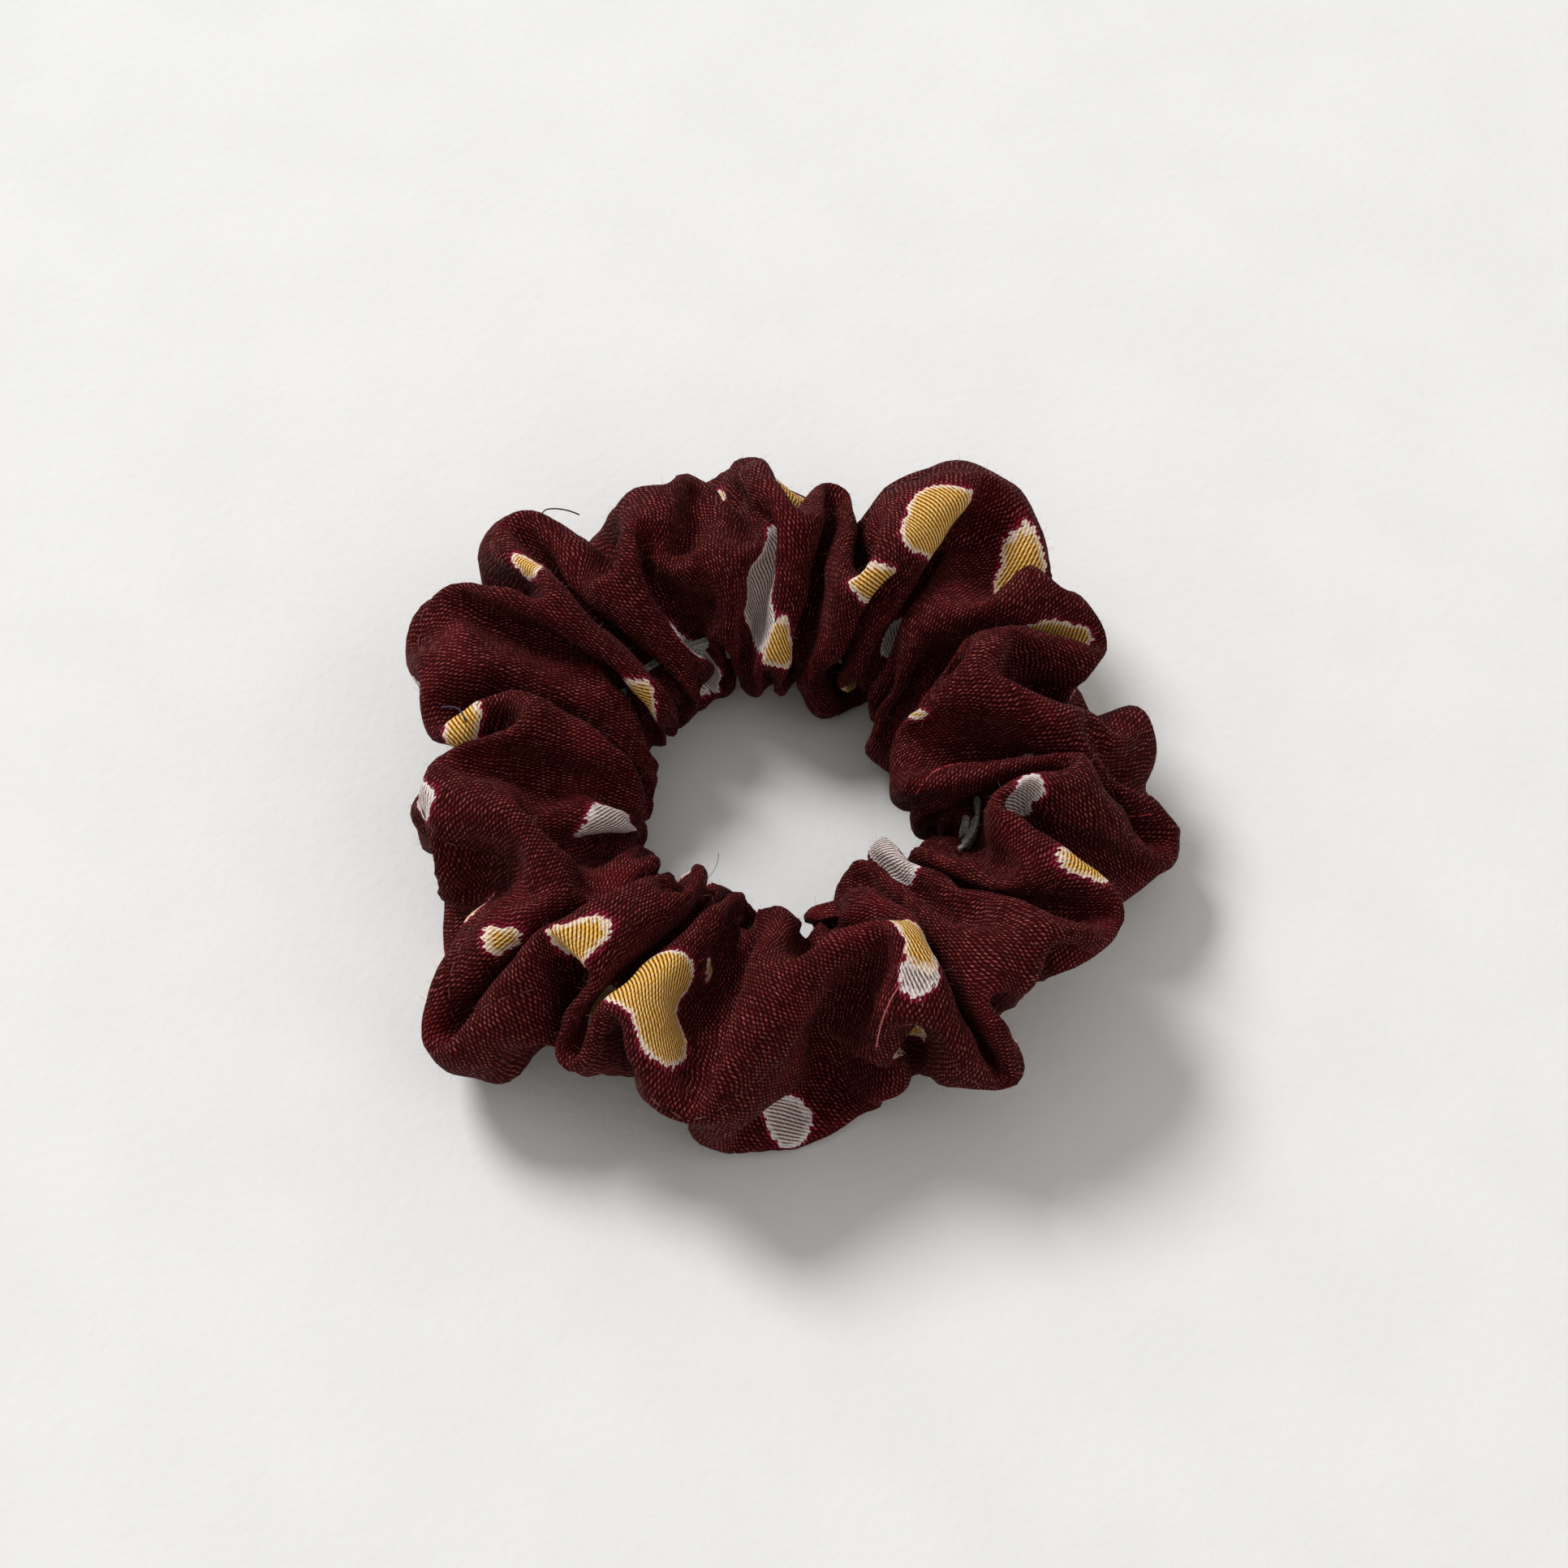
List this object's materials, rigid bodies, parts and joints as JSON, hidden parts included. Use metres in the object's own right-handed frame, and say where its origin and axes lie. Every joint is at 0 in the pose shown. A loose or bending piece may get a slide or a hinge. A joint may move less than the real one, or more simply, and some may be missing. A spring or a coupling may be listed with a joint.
{
  "type": "scrunchie",
  "caption": "Gathered cloth tube sewn round a loop of flat elastic, with machine seams and loose thread ends; the ring stretches open and springs back.",
  "frame": {"origin": "centre of the open hole, on the surface that the ring lies on", "axes": "+Z along the axis of the ring, +X from the centre towards the closing seam, which is also the direction of stretch"},
  "size_m": [0.091, 0.091, 0.0233],
  "materials": {
    "printed_cloth": "dark burgundy plain-weave viscose crepe with scattered mustard and off-white spots",
    "braided_elastic": "flat white braided elastic",
    "seam_thread": "spun polyester sewing thread, dull red",
    "closing_thread": "spun polyester sewing thread, bright red",
    "white_thread": "spun polyester sewing thread, white",
    "blue_thread": "spun polyester sewing thread, navy blue",
    "dark_thread": "spun polyester sewing thread, near black"
  },
  "bodies": {
    "left_half": {"cover_left": "printed_cloth", "blue_thread_tail": "blue_thread", "dark_thread_tail": "dark_thread"},
    "right_half": {"cover_right": "printed_cloth", "elastic_band": "braided_elastic", "elastic_join_stitching": "white_thread", "seam_needle_thread": "seam_thread", "seam_bobbin_thread": "seam_thread", "closing_needle_stitches": "closing_thread", "closing_bobbin_stitches": "closing_thread", "loose_seam_thread": "seam_thread"}
  },
  "joints": [
    {"name": "stretch", "type": "slide", "parent": "left_half", "child": "right_half", "axis": [1, 0, 0], "range_m": [0, 0.09], "stiffness_N_per_m": 40, "deforming": ["elastic_band", "seam_needle_thread", "seam_bobbin_thread"]}
  ]
}
